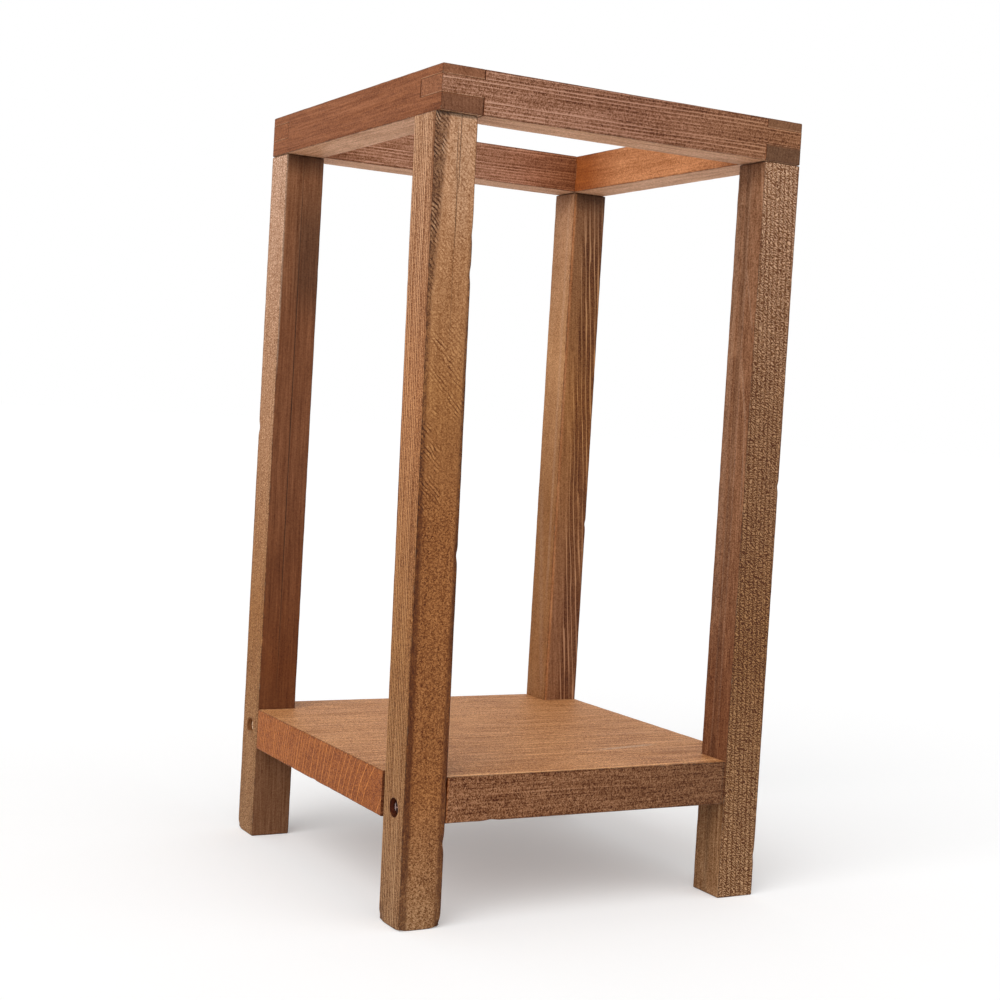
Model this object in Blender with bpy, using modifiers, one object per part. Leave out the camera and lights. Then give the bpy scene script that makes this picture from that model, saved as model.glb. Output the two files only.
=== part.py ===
"""Wooden plant stand: four square legs, a bridle-jointed frame on top, a thick notched shelf near the floor.

Units are metres and +Z is up. The origin is on the floor, under the middle of the frame. +X runs to the
right along the front, which faces -Y.

The top frame's side rails end in forks and its front and back rails in tenons, so that each corner is an
open bridle joint. Two glued dowels fix each leg under its corner. The shelf is notched round the legs and
held by a screw through each leg, whose head lies in a counterbore.
"""
import math

import bmesh
import bpy
from mathutils import Matrix, Vector

# Overall sizes
WIDTH = 0.300
DEPTH = 0.300
HEIGHT = 0.580

# Stock: legs and rails come from one batten, so that they are flush, and the rails are planed a little lower
BATTEN = 0.032
RAIL_HEIGHT = BATTEN - 0.001
SHELF_THICKNESS = 0.032
SHELF_TOP = 0.1035
ARRIS = 0.0008
ARRIS_STEPS = 2

# Corner joints of the frame: the cheek above the tenon, and the tenon; the lower cheek is what is left
UPPER_CHEEK = 0.007
TENON_THICKNESS = 0.012

# Dowels between legs and frame
DOWEL_DIAMETER = 0.008
DOWEL_IN_LEG = 0.025
DOWEL_COVER = 0.004
DOWEL_OFFSET = 0.006
DOWEL_END_SPACE = 0.001
DOWEL_CHAMFER = 0.0008
DOWEL_FLUTES = 16
FLUTE_DEPTH = 0.0003

# Shelf screws
SCREW_LENGTH = 0.060
SCREW_DIAMETER = 0.0048
SCREW_POINT = 0.006
SCREW_HEAD_DIAMETER = 0.0100
SCREW_HEAD_HEIGHT = 0.0030
SCREW_SINK = 0.0025
SCREW_RECESS_SPAN = 0.0052
SCREW_RECESS_WIDTH = 0.0011
SCREW_RECESS_DEPTH = 0.0018
COUNTERBORE_DIAMETER = 0.0135

# Clearances
FIT_GAP = 0.0003
NOTCH_GAP = 0.0005
OVERCUT = 0.004

ROUND_STEPS = 32

# Side of the stand on which each corner lies, as signs of X and Y
CORNERS = {
    "front_left": (-1, -1),
    "front_right": (1, -1),
    "back_left": (-1, 1),
    "back_right": (1, 1),
}

# The near leg stands out of plumb: how far its foot and its top are off the frame's corner, in X and Y
NEAR_LEG = "front_left"
NEAR_FOOT_OFFSET = (0.0025, -0.0010)
NEAR_TOP_OFFSET = (-0.0030, 0.0010)

# Its screw sits this far below the middle of the shelf's edge, and the others level with the middle
NEAR_SCREW_DROP = 0.006

# Each screw's cross recess is turned a little further round than the last one's, in degrees
FIRST_SCREW_TURN = 25
NEXT_SCREW_TURN = 40

# Heights that follow from the sizes above
FRAME_UNDERSIDE = HEIGHT - RAIL_HEIGHT
TENON_TOP = HEIGHT - UPPER_CHEEK
TENON_BOTTOM = TENON_TOP - TENON_THICKNESS
LEG_TOP = FRAME_UNDERSIDE - FIT_GAP
SHELF_BOTTOM = SHELF_TOP - SHELF_THICKNESS
SHELF_MIDDLE = SHELF_TOP - SHELF_THICKNESS / 2
COUNTERBORE_DEPTH = SCREW_SINK + SCREW_HEAD_HEIGHT + FIT_GAP


def clear_scene():
    """Remove every object of the open scene."""
    for obj in list(bpy.data.objects):
        bpy.data.objects.remove(obj, do_unlink=True)


def new_collection(name):
    """Return a new collection linked to the scene."""
    collection = bpy.data.collections.new(name)
    bpy.context.scene.collection.children.link(collection)
    return collection


def new_material(name, colour, roughness, metallic=0.0):
    """Return a plain Principled material."""
    material = bpy.data.materials.new(name)
    material.use_nodes = True
    shader = material.node_tree.nodes["Principled BSDF"]
    shader.inputs["Base Color"].default_value = (*colour, 1.0)
    shader.inputs["Roughness"].default_value = roughness
    shader.inputs["Metallic"].default_value = metallic
    material.diffuse_color = (*colour, 1.0)
    return material


def add_object(name, mesh, collection, material=None):
    """Link a new object with this mesh and material to a collection."""
    obj = bpy.data.objects.new(name, mesh)
    collection.objects.link(obj)
    if material:
        mesh.materials.append(material)
    return obj


def add_cutter(name, mesh, cutters):
    """Link a new object that only cuts others: it is drawn as wire and never rendered."""
    cutter = add_object(name, mesh, cutters)
    cutter.hide_render = True
    cutter.display_type = "WIRE"
    return cutter


def box_mesh(name, size):
    """Return a box of this size, centred on its own origin."""
    mesh = bpy.data.meshes.new(name)
    bm = bmesh.new()
    bmesh.ops.create_cube(bm, size=1.0)
    bmesh.ops.scale(bm, vec=size, verts=bm.verts)
    bm.to_mesh(mesh)
    bm.free()
    return mesh


def cylinder_mesh(name, diameter, length, sides=ROUND_STEPS):
    """Return a cylinder along Z, centred on its own origin."""
    mesh = bpy.data.meshes.new(name)
    bm = bmesh.new()
    bmesh.ops.create_cone(
        bm,
        cap_ends=True,
        segments=sides,
        radius1=diameter / 2,
        radius2=diameter / 2,
        depth=length,
    )
    bm.to_mesh(mesh)
    bm.free()
    return mesh


def place_between(obj, low, high):
    """Put a centred box's object where its corners are these two points."""
    obj.location = (Vector(low) + Vector(high)) / 2


def box_cutter(name, low, high, cutters):
    """Return a box cutter between two corner points."""
    size = Vector(high) - Vector(low)
    cutter = add_cutter(name, box_mesh(name, size), cutters)
    place_between(cutter, low, high)
    return cutter


def ease_edges(obj):
    """Round a blank's arrises lightly; cuts made after this stay crisp."""
    bevel = obj.modifiers.new("eased_arrises", "BEVEL")
    bevel.width = ARRIS
    bevel.segments = ARRIS_STEPS
    bevel.limit_method = "ANGLE"
    bevel.angle_limit = math.radians(40)


def blank(name, low, high, collection, material):
    """Return a planed block of wood between two corner points, with eased arrises."""
    size = Vector(high) - Vector(low)
    obj = add_object(name, box_mesh(name, size), collection, material)
    place_between(obj, low, high)
    ease_edges(obj)
    return obj


def cut(obj, cutter):
    """Take a cutter's shape out of an object."""
    boolean = obj.modifiers.new("cut_" + cutter.name, "BOOLEAN")
    boolean.operation = "DIFFERENCE"
    boolean.solver = "EXACT"
    boolean.object = cutter


def smooth_round(mesh, sharp_degrees=35):
    """Shade a round mesh smooth, apart from its real edges."""
    mesh.shade_smooth()
    mesh.set_sharp_from_angle(angle=math.radians(sharp_degrees))


def frame_corner(corner):
    """Return the X and Y of the middle of a leg that stands square under this corner of the frame."""
    side_x, side_y = CORNERS[corner]
    return Vector((side_x * (WIDTH - BATTEN) / 2, side_y * (DEPTH - BATTEN) / 2))


def leg_middle(corner, height):
    """Return the X and Y of a leg's middle at a height, on the straight line from its foot to its top."""
    if corner != NEAR_LEG:
        return frame_corner(corner)
    offset = Vector(NEAR_FOOT_OFFSET).lerp(Vector(NEAR_TOP_OFFSET), height / LEG_TOP)
    return frame_corner(corner) + offset


def make_leg(corner, collection, material):
    """Return a square leg, with its foot and top level and its sides along the leg's own line."""
    half = BATTEN / 2
    name = "leg_" + corner
    leg = blank(name, (-half, -half, 0), (half, half, LEG_TOP), collection, material)
    foot = leg_middle(corner, 0)
    leg.location.xy = foot
    for vertex in leg.data.vertices:
        height = vertex.co.z + LEG_TOP / 2
        vertex.co.xy += leg_middle(corner, height) - foot
    return leg


def make_side_rail(name, side, collection, cutters, material):
    """Return the left (-1) or right (1) top rail, with a fork at each end for a tenon."""
    outer, inner = side * WIDTH / 2, side * (WIDTH / 2 - BATTEN)
    low_x, high_x = min(outer, inner), max(outer, inner)
    rail = blank(
        name,
        (low_x, -DEPTH / 2, FRAME_UNDERSIDE),
        (high_x, DEPTH / 2, HEIGHT),
        collection,
        material,
    )
    for end_name, end in (("front", -1), ("back", 1)):
        mouth = end * (DEPTH / 2 + OVERCUT)
        root = end * (DEPTH / 2 - BATTEN - FIT_GAP)
        slot = box_cutter(
            f"{name}_slot_{end_name}",
            (low_x - OVERCUT, min(mouth, root), TENON_BOTTOM - FIT_GAP),
            (high_x + OVERCUT, max(mouth, root), TENON_TOP + FIT_GAP),
            cutters,
        )
        cut(rail, slot)
    return rail


def make_cross_rail(name, side, collection, cutters, material):
    """Return the front (-1) or back (1) top rail, with a tenon at each end that shows on the side faces."""
    outer, inner = side * DEPTH / 2, side * (DEPTH / 2 - BATTEN)
    low_y, high_y = min(outer, inner), max(outer, inner)
    rail = blank(
        name,
        (-WIDTH / 2, low_y, FRAME_UNDERSIDE),
        (WIDTH / 2, high_y, HEIGHT),
        collection,
        material,
    )
    waste = {
        "above": (TENON_TOP, HEIGHT + OVERCUT),
        "below": (FRAME_UNDERSIDE - OVERCUT, TENON_BOTTOM),
    }
    for end_name, end in (("left", -1), ("right", 1)):
        tip = end * (WIDTH / 2 + OVERCUT)
        shoulder = end * (WIDTH / 2 - BATTEN - FIT_GAP)
        for waste_name, (bottom, top) in waste.items():
            cutter = box_cutter(
                f"{name}_{end_name}_{waste_name}_tenon",
                (min(tip, shoulder), low_y - OVERCUT, bottom),
                (max(tip, shoulder), high_y + OVERCUT, top),
                cutters,
            )
            cut(rail, cutter)
    return rail


def notch_wall(corner, axis):
    """Return where a notch's inner wall lies, along X (0) or Y (1).

    The notch is cut square, so it clears the leg's inner face at both faces of the shelf.
    """
    side = CORNERS[corner][axis]
    reach = [
        abs(leg_middle(corner, height)[axis]) - BATTEN / 2
        for height in (SHELF_BOTTOM, SHELF_TOP)
    ]
    return side * (min(reach) - NOTCH_GAP)


def make_shelf(collection, cutters, material):
    """Return the shelf board with a square notch round each leg."""
    shelf = blank(
        "shelf",
        (-WIDTH / 2, -DEPTH / 2, SHELF_BOTTOM),
        (WIDTH / 2, DEPTH / 2, SHELF_TOP),
        collection,
        material,
    )
    for corner, (side_x, side_y) in CORNERS.items():
        wall = Vector((notch_wall(corner, 0), notch_wall(corner, 1)))
        outside = Vector((side_x * (WIDTH / 2 + OVERCUT), side_y * (DEPTH / 2 + OVERCUT)))
        notch = box_cutter(
            "shelf_notch_" + corner,
            (min(wall.x, outside.x), min(wall.y, outside.y), SHELF_BOTTOM - OVERCUT),
            (max(wall.x, outside.x), max(wall.y, outside.y), SHELF_TOP + OVERCUT),
            cutters,
        )
        cut(shelf, notch)
    return shelf


def dowel_mesh(name, length):
    """Return a fluted dowel along Z: a cylinder whose every second edge is drawn in."""
    sides = 2 * DOWEL_FLUTES
    mesh = cylinder_mesh(name, DOWEL_DIAMETER, length, sides)
    groove = 1 - FLUTE_DEPTH / (DOWEL_DIAMETER / 2)
    for vertex in mesh.vertices:
        angle = math.atan2(vertex.co.y, vertex.co.x)
        if round(angle / (math.tau / sides)) % 2:
            vertex.co.xy *= groove
    smooth_round(mesh)
    return mesh


def make_dowel(name, place, bottom, length, collection, material):
    """Return a dowel with chamfered ends, standing on this height at this X and Y."""
    dowel = add_object(name, dowel_mesh(name, length), collection, material)
    dowel.location = (place.x, place.y, bottom + length / 2)
    bevel = dowel.modifiers.new("chamfered_ends", "BEVEL")
    bevel.width = DOWEL_CHAMFER
    bevel.segments = 1
    bevel.limit_method = "ANGLE"
    bevel.angle_limit = math.radians(60)
    return dowel


def dowel_places(corner):
    """Return the X and Y of a corner's two dowels, on the diagonal through the leg's top."""
    side_x, side_y = CORNERS[corner]
    middle = leg_middle(corner, LEG_TOP)
    diagonal = Vector((side_x, side_y)) * DOWEL_OFFSET
    return {"inner": middle - diagonal, "outer": middle + diagonal}


def fit_dowels(corner, leg, side_rail, cross_rail, collection, cutters, material):
    """Dowel a leg to its corner joint: through the lower cheek and into the tenon, whose top stays whole."""
    hole_bottom = LEG_TOP - DOWEL_IN_LEG
    hole_top = TENON_TOP - DOWEL_COVER
    hole_length = hole_top - hole_bottom
    length = hole_length - 2 * DOWEL_END_SPACE
    for place_name, place in dowel_places(corner).items():
        name = f"dowel_{corner}_{place_name}"
        make_dowel(name, place, hole_bottom + DOWEL_END_SPACE, length, collection, material)
        hole_name = f"{name}_hole"
        hole_mesh = cylinder_mesh(hole_name, DOWEL_DIAMETER + 2 * FIT_GAP, hole_length)
        hole = add_cutter(hole_name, hole_mesh, cutters)
        hole.location = (place.x, place.y, (hole_bottom + hole_top) / 2)
        for piece in (leg, side_rail, cross_rail):
            cut(piece, hole)


def turned(name, profile, collection, material=None):
    """Return an object turned about Z from a profile of (radius, height) points, listed from the top down."""
    mesh = bpy.data.meshes.new(name)
    points = [(radius, 0.0, height) for radius, height in profile]
    edges = [(index, index + 1) for index in range(len(points) - 1)]
    mesh.from_pydata(points, edges, [])
    obj = add_object(name, mesh, collection, material)
    screw = obj.modifiers.new("turn", "SCREW")
    screw.axis = "Z"
    screw.steps = ROUND_STEPS
    screw.render_steps = ROUND_STEPS
    screw.use_merge_vertices = True
    screw.merge_threshold = 0.00001
    screw.use_smooth_shade = True
    return obj


def screw_profile():
    """Return the outline of a pan-head wood screw, head up, with the underside of its head at height 0."""
    shank = SCREW_DIAMETER / 2
    head = SCREW_HEAD_DIAMETER / 2
    dome = 5
    crown = SCREW_HEAD_HEIGHT / 2
    points = []
    for step in range(dome + 1):
        angle = math.pi / 2 * step / dome
        points.append((head * math.sin(angle), crown + crown * math.cos(angle)))
    points += [
        (head, 0.0),
        (shank, 0.0),
        (shank, SCREW_POINT - SCREW_LENGTH),
        (0.0, -SCREW_LENGTH),
    ]
    return points


def bore_profile():
    """Return the outline of the hole for a shelf screw, on the screw's axis and with room round it."""
    shank = SCREW_DIAMETER / 2 + FIT_GAP
    return [
        (0.0, COUNTERBORE_DEPTH - FIT_GAP + OVERCUT),
        (COUNTERBORE_DIAMETER / 2, COUNTERBORE_DEPTH - FIT_GAP + OVERCUT),
        (COUNTERBORE_DIAMETER / 2, -FIT_GAP),
        (shank, -FIT_GAP),
        (shank, -SCREW_LENGTH),
        (0.0, -SCREW_LENGTH - shank),
    ]


def fit_shelf_screw(corner, number, leg, shelf, collection, cutters, material):
    """Screw the shelf to a leg from the side: the head lies in a counterbore in the leg's outer face."""
    side = CORNERS[corner][0]
    height = SHELF_MIDDLE - (NEAR_SCREW_DROP if corner == NEAR_LEG else 0.0)
    middle = leg_middle(corner, height)
    face = middle.x + side * BATTEN / 2
    seat = face - side * (SCREW_SINK + SCREW_HEAD_HEIGHT)
    outwards = Matrix.Rotation(side * math.pi / 2, 4, "Y")
    turn = Matrix.Rotation(math.radians(FIRST_SCREW_TURN + NEXT_SCREW_TURN * number), 4, "Z")
    place = Matrix.Translation((seat, middle.y, height)) @ outwards @ turn

    name = "shelf_screw_" + corner
    screw = turned(name, screw_profile(), collection, material)
    screw.matrix_world = place
    recess_mesh = box_mesh(
        name + "_recess",
        (SCREW_RECESS_SPAN, SCREW_RECESS_WIDTH, 2 * SCREW_RECESS_DEPTH),
    )
    for slot_name, slot_turn in (("a", 0.0), ("b", math.pi / 2)):
        slot = add_cutter(f"{name}_recess_{slot_name}", recess_mesh, cutters)
        head_top = Matrix.Translation((0, 0, SCREW_HEAD_HEIGHT))
        slot.matrix_world = place @ head_top @ Matrix.Rotation(slot_turn, 4, "Z")
        cut(screw, slot)

    bore = turned(name + "_bore", bore_profile(), cutters)
    bore.hide_render = True
    bore.display_type = "WIRE"
    bore.matrix_world = place
    cut(leg, bore)
    cut(shelf, bore)
    return screw


def main():
    """Build the stand."""
    clear_scene()
    parts = new_collection("wooden_plant_stand")
    cutters = new_collection("cutters")
    leg_wood = new_material("leg_wood", (0.36, 0.18, 0.09), 0.75)
    rail_wood = new_material("rail_wood", (0.28, 0.11, 0.055), 0.65)
    shelf_wood = new_material("shelf_wood", (0.36, 0.16, 0.07), 0.60)
    beech = new_material("dowel_beech", (0.55, 0.38, 0.22), 0.70)
    steel = new_material("screw_steel", (0.60, 0.61, 0.63), 0.35, metallic=1.0)

    side_rails = {
        "left": make_side_rail("rail_left", -1, parts, cutters, rail_wood),
        "right": make_side_rail("rail_right", 1, parts, cutters, rail_wood),
    }
    cross_rails = {
        "front": make_cross_rail("rail_front", -1, parts, cutters, rail_wood),
        "back": make_cross_rail("rail_back", 1, parts, cutters, rail_wood),
    }
    shelf = make_shelf(parts, cutters, shelf_wood)
    for number, corner in enumerate(CORNERS):
        end, side = corner.split("_")
        leg = make_leg(corner, parts, leg_wood)
        fit_dowels(corner, leg, side_rails[side], cross_rails[end], parts, cutters, beech)
        fit_shelf_screw(corner, number, leg, shelf, parts, cutters, steel)


main()
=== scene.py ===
"""Looks of the wooden plant stand: stained softwood, planed on some faces and rough from the saw on others.

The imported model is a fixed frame. Finely ruled timber takes the place of its legs, rails and shelf, its
screws and dowels are dressed, and a pale floor, soft light and the camera are set out. Units are metres, +Z
is up and the front faces -Y. Inside the materials and for the marks on a piece, lengths are millimetres.
"""
from __future__ import annotations

import logging
import math
from dataclasses import dataclass, field
from enum import Enum

import bpy
import numpy as np
from mathutils import Matrix, Vector


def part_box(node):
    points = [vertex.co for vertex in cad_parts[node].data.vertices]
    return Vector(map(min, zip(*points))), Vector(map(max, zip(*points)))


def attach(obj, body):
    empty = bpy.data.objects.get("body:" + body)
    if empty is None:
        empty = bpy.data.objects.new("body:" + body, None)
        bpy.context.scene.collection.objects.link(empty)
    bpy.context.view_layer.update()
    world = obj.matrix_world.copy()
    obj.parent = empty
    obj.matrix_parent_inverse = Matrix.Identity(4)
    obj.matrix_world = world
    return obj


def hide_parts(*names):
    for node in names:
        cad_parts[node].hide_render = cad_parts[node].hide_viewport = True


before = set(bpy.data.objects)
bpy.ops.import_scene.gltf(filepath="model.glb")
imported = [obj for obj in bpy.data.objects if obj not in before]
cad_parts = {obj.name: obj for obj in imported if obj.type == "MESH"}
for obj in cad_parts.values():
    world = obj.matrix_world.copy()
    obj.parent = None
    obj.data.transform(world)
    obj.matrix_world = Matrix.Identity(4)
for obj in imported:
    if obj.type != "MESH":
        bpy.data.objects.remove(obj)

MILLIMETRES = 1000.0
FIELD_NUMBERS = 8192
log = logging.getLogger("plant_stand")

Point = tuple[float, float, float]
Span = tuple[float, float]


class Side(Enum):
    """A side of a piece, as the axis that it faces along and the sign of that direction."""

    LEFT = (0, -1)
    RIGHT = (0, 1)
    FRONT = (1, -1)
    BACK = (1, 1)
    UNDER = (2, -1)
    TOP = (2, 1)


class Tone(Enum):
    """Colours of the stained wood, as screen red, green and blue from 0 to 255."""

    ASH = (206, 156, 119)
    HONEY = (193, 149, 119)
    MAIZE = (187, 134, 88)
    FAWN = (180, 134, 99)
    BAMBOO = (167, 118, 78)
    COPPER = (190, 123, 77)
    SAND = (173, 125, 89)
    PINE = (184, 127, 79)
    AMBER = (166, 108, 65)
    CLAY = (160, 109, 80)
    OCHRE = (160, 90, 38)
    PUMPKIN = (153, 81, 33)
    MUSHROOM = (162, 120, 88)
    ROSE = (150, 104, 78)
    GINGER = (149, 98, 53)
    ALMOND = (145, 100, 69)
    UMBER = (141, 101, 66)
    RUSSET = (138, 80, 45)
    BRICK = (146, 83, 52)
    SIENNA = (134, 88, 64)
    NUTMEG = (133, 81, 40)
    BRIAR = (130, 82, 54)
    CHESTNUT = (133, 87, 56)
    BISTRE = (134, 93, 60)
    BARK = (127, 81, 49)
    DUSK = (119, 79, 51)
    SEPIA = (121, 79, 43)
    WALNUT = (114, 67, 38)
    COCOA = (104, 55, 23)
    PEAT = (104, 67, 41)

    def linear(self) -> np.ndarray:
        """Return the colour as light, by the screen's own curve turned round."""
        screen = np.array(self.value) / 255
        return np.where(screen <= 0.04045, screen / 12.92, ((screen + 0.055) / 1.055) ** 2.4)


@dataclass(frozen=True)
class Face:
    """How one face of a piece was left. All but the first and the last are strengths, mostly up to 1.

    Args:
        tones: Names of its mean colours at even steps along the piece, from its low end to its high end.
        saw: The slanting marks of the saw.
        fuzz: The speckle of torn fibres.
        rings: The growth rings' dark lines.
        lines: The thin pale lines beside them.
        flecks: The rows of pale flecks between them.
        streaks: The long fine streaks of the fibres.
        relief: Depth of the hollows in the mesh, in metres.
    """

    tones: str
    saw: float = 0.0
    fuzz: float = 0.15
    rings: float = 0.4
    lines: float = 0.0
    flecks: float = 0.0
    streaks: float = 0.6
    relief: float = 0.00006

    def colour(self, share: np.ndarray) -> np.ndarray:
        """Return the colour at places along the piece, given as shares of its length."""
        colours = np.array([Tone[name.upper()].linear() for name in self.tones.split()])
        steps = np.linspace(0, 1, len(colours))
        return np.stack([np.interp(share, steps, part) for part in colours.T], axis=1)


@dataclass(frozen=True)
class Growth:
    """How a piece lay in the log.

    Args:
        pith: Where the log's middle passes, from the piece's own middle. The first number is along X and the
            second along Y, but downwards for the one that the piece itself runs along.
        pitch: Distance from one ring to the next.
        crowding: How much closer the outer rings are, for each millimetre of the distance to the pith.
        tilt: How far the log's middle is out of line with the piece, in degrees, round the two cross axes.
        wander: How far the rings swing from side to side along the piece.
        drift: How uneven the distances between them are, as a share of the pitch.
        start: Shift of all the patterns, so that no two pieces look alike.
    """

    pith: Span
    pitch: float = 1.6
    crowding: float = 0.0
    tilt: Span = (0.4, 0.3)
    wander: float = 2.0
    drift: float = 0.7
    start: float = 0.0


@dataclass(frozen=True)
class Patch:
    """A soft-edged mark on a face, as a band between two lines along the piece.

    Places are counted from the low end of the piece and from the low edge of the face. The last six are
    strengths, mostly up to 1.

    Args:
        side: The face that carries it.
        along: Where it starts and ends along the piece.
        near: The lower edge across the face, where the mark starts and where it ends.
        far: The upper edge, likewise.
        soft: Width over which its edges fade across the face.
        taper: Length over which its ends fade.
        tone: A colour that it brings with it.
        shade: An even darkening, which also serves as painted shade under the frame and in gaps.
        dark: A dark stain in the grain.
        pale: A rubbed place.
        saw: The marks of the saw.
        lines: The thin pale lines of the rings.
        fuzz: The speckle of torn fibres.
    """

    side: Side
    along: Span
    near: Span = (-9.0, -9.0)
    far: Span = (400.0, 400.0)
    soft: float = 3.0
    taper: float = 12.0
    tone: Tone | None = None
    shade: float = 0.0
    dark: float = 0.0
    pale: float = 0.0
    saw: float = 0.0
    lines: float = 0.0
    fuzz: float = 0.0


@dataclass(frozen=True)
class Groove:
    """A crack or a scratch straight along the grain of a face, dark from the stain that gathers in it.

    Its ends along the piece and its place across the face are counted like those of a patch.
    """

    side: Side
    along: Span
    across: float
    width: float
    depth: float
    dark: float


@dataclass(frozen=True)
class Nick:
    """A dent or chip: the surface goes in by depth at its middle, and by a bell curve less around it."""

    middle: Point
    size: float
    depth: float


@dataclass(frozen=True)
class Block:
    """A box between two corners."""

    low: Point
    high: Point

    def holds(self, middles: list[np.ndarray]) -> np.ndarray:
        """Tell which cells of a lattice lie in the box, by their middles along X, Y and Z."""
        inside = [(cell > low) & (cell < high) for cell, low, high in zip(middles, self.low, self.high)]
        return np.logical_and.outer(np.logical_and.outer(inside[0], inside[1]), inside[2])


@dataclass(frozen=True)
class Bore:
    """A round hole, in one or more steps on the same axis.

    A hole takes squares out of the lattice, and the lattice is then bent so that the squares are circles.

    Args:
        axis: The axis that it runs along.
        centre: A point on its middle line.
        steps: For each step its radius, and the places along the axis between which it runs.
        reach: Distance from the middle line beyond which the lattice stays straight.
        squareness: Half the width of the squares, as a share of the radius.
    """

    axis: int
    centre: Point
    steps: tuple[Point, ...]
    reach: float
    squareness: float = 0.9

    def blocks(self) -> list[Block]:
        """Return the square boxes that the hole takes out, one for each step."""
        found = []
        for radius, start, end in self.steps:
            low, high = (np.array(self.centre) + sign * self.squareness * radius for sign in (-1, 1))
            low[self.axis], high[self.axis] = start, end
            found.append(Block(tuple(low), tuple(high)))
        return found

    def bend(self, points: np.ndarray) -> None:
        """Bend the lattice round the hole, in place.

        A point's distance to the middle line is counted along squares, as the larger of its two offsets.
        Within the hole's square it moves to that distance, counted along circles and divided by the
        squareness. From there to the reach the move fades out evenly.

        Args:
            points: The lattice's points, which are moved.
        """
        across = [(self.axis + 1) % 3, (self.axis + 2) % 3]
        centre = np.array(self.centre)[across]
        offset = points[:, across] - centre
        square = np.abs(offset).max(axis=1)
        near = (square < self.reach) & (square > 1e-9)
        offset, square = offset[near], square[near]
        edge = self.squareness * max(radius for radius, _, _ in self.steps)
        hold = np.clip((self.reach - square) / (self.reach - edge), 0, 1)
        scale = 1 - hold + hold * square / np.hypot(offset[:, 0], offset[:, 1]) / self.squareness
        points[np.ix_(near, across)] = offset * scale[:, None] + centre


def random_field(seed: int, points: np.ndarray, spacing: Point) -> np.ndarray:
    """Return a smooth random field in space, with values from 0 to 1.

    Each corner of a grid has a random number. A point mixes the numbers of its cell's eight corners, each
    weighted along every axis by 3t^2 - 2t^3 of the place within the cell.

    Args:
        seed: Start of the random numbers.
        points: The points, one in each row.
        spacing: The grid's spacing along X, Y and Z.

    Returns:
        One value for each point.
    """
    numbers = np.random.default_rng(seed).random(FIELD_NUMBERS)
    scaled = points / np.array(spacing)
    cell = np.floor(scaled).astype(np.int64)
    part = scaled - cell
    ease = part * part * (3 - 2 * part)
    total = np.zeros(len(points))
    for corner in np.ndindex(2, 2, 2):
        x, y, z = (cell + corner).T
        key = (x * 73856093) ^ (y * 19349663) ^ (z * 83492791)
        total += np.where(corner, ease, 1 - ease).prod(axis=1) * numbers[key % len(numbers)]
    return total


def ruled(marks: list[float], step: float) -> np.ndarray:
    """Return lattice lines: every mark, and even divisions between marks, no further apart than a step.

    Args:
        marks: Places that get a line; two that are closer than a hundredth of a millimetre count as one.
        step: The largest distance between lines.

    Returns:
        The places of the lines, in rising order.
    """
    ordered = np.unique(np.round(np.array(marks), 5))
    parts = [
        np.linspace(start, end, max(1, math.ceil((end - start) / step - 1e-6)) + 1)[:-1]
        for start, end in zip(ordered[:-1], ordered[1:])
    ]
    return np.concatenate([*parts, ordered[-1:]])


def skin(solid: np.ndarray) -> tuple[np.ndarray, np.ndarray, np.ndarray]:
    """Return the closed surface of the filled cells of a lattice.

    A face is where a filled cell and an empty one meet. Along each axis the difference of neighbouring cells
    is 1 or -1 there, and its sign says which way the face looks.

    Args:
        solid: A true or false for each cell.

    Returns:
        The lattice indices of the surface's points, its four-cornered faces, and for each point the sum of
        the directions in which its faces look.
    """
    shape = tuple(count + 1 for count in solid.shape)
    stride = (shape[1] * shape[2], shape[2], 1)
    filled = np.pad(solid, 1).astype(np.int8)
    faces, looks = [], []
    for axis in range(3):
        second, third = (axis + 1) % 3, (axis + 2) % 3
        turned = filled.transpose(axis, second, third)
        change = (turned[1:] - turned[:-1])[:, 1:-1, 1:-1]
        steps = (0, stride[second], stride[second] + stride[third], stride[third])
        for sign in (1, -1):
            layer, row, column = np.nonzero(change == -sign)
            corner = layer * stride[axis] + row * stride[second] + column * stride[third]
            faces.append(np.stack([corner + step for step in steps[::sign]], axis=1))
            looks.append(np.tile(sign * np.eye(3)[axis], (4 * len(corner), 1)))
    quads, facing = np.concatenate(faces), np.concatenate(looks)
    used, compact = np.unique(quads, return_inverse=True)
    compact = compact.reshape(quads.shape)
    sums = [np.bincount(compact.ravel(), facing[:, axis], len(used)) for axis in range(3)]
    return np.stack(np.unravel_index(used, shape), axis=1), compact, np.stack(sums, axis=1)


def mesh_object(name: str, points: np.ndarray, quads: np.ndarray) -> bpy.types.Object:
    """Return a new smooth-shaded object at the origin, with creases only at its real edges.

    Args:
        name: The piece's name.
        points: Its points, one in each row.
        quads: Its faces, as four rows of points each.

    Returns:
        The object, linked to the scene.
    """
    mesh = bpy.data.meshes.new(name)
    mesh.vertices.add(len(points))
    mesh.vertices.foreach_set("co", points.astype(np.float32).ravel())
    mesh.loops.add(quads.size)
    mesh.loops.foreach_set("vertex_index", quads.astype(np.int32).ravel())
    mesh.polygons.add(len(quads))
    mesh.polygons.foreach_set("loop_start", np.arange(0, quads.size, 4, dtype=np.int32))
    mesh.update(calc_edges=True)
    mesh.shade_smooth()
    mesh.set_sharp_from_angle(angle=math.radians(35))
    piece = bpy.data.objects.new(name, mesh)
    bpy.context.scene.collection.objects.link(piece)
    return piece


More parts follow.
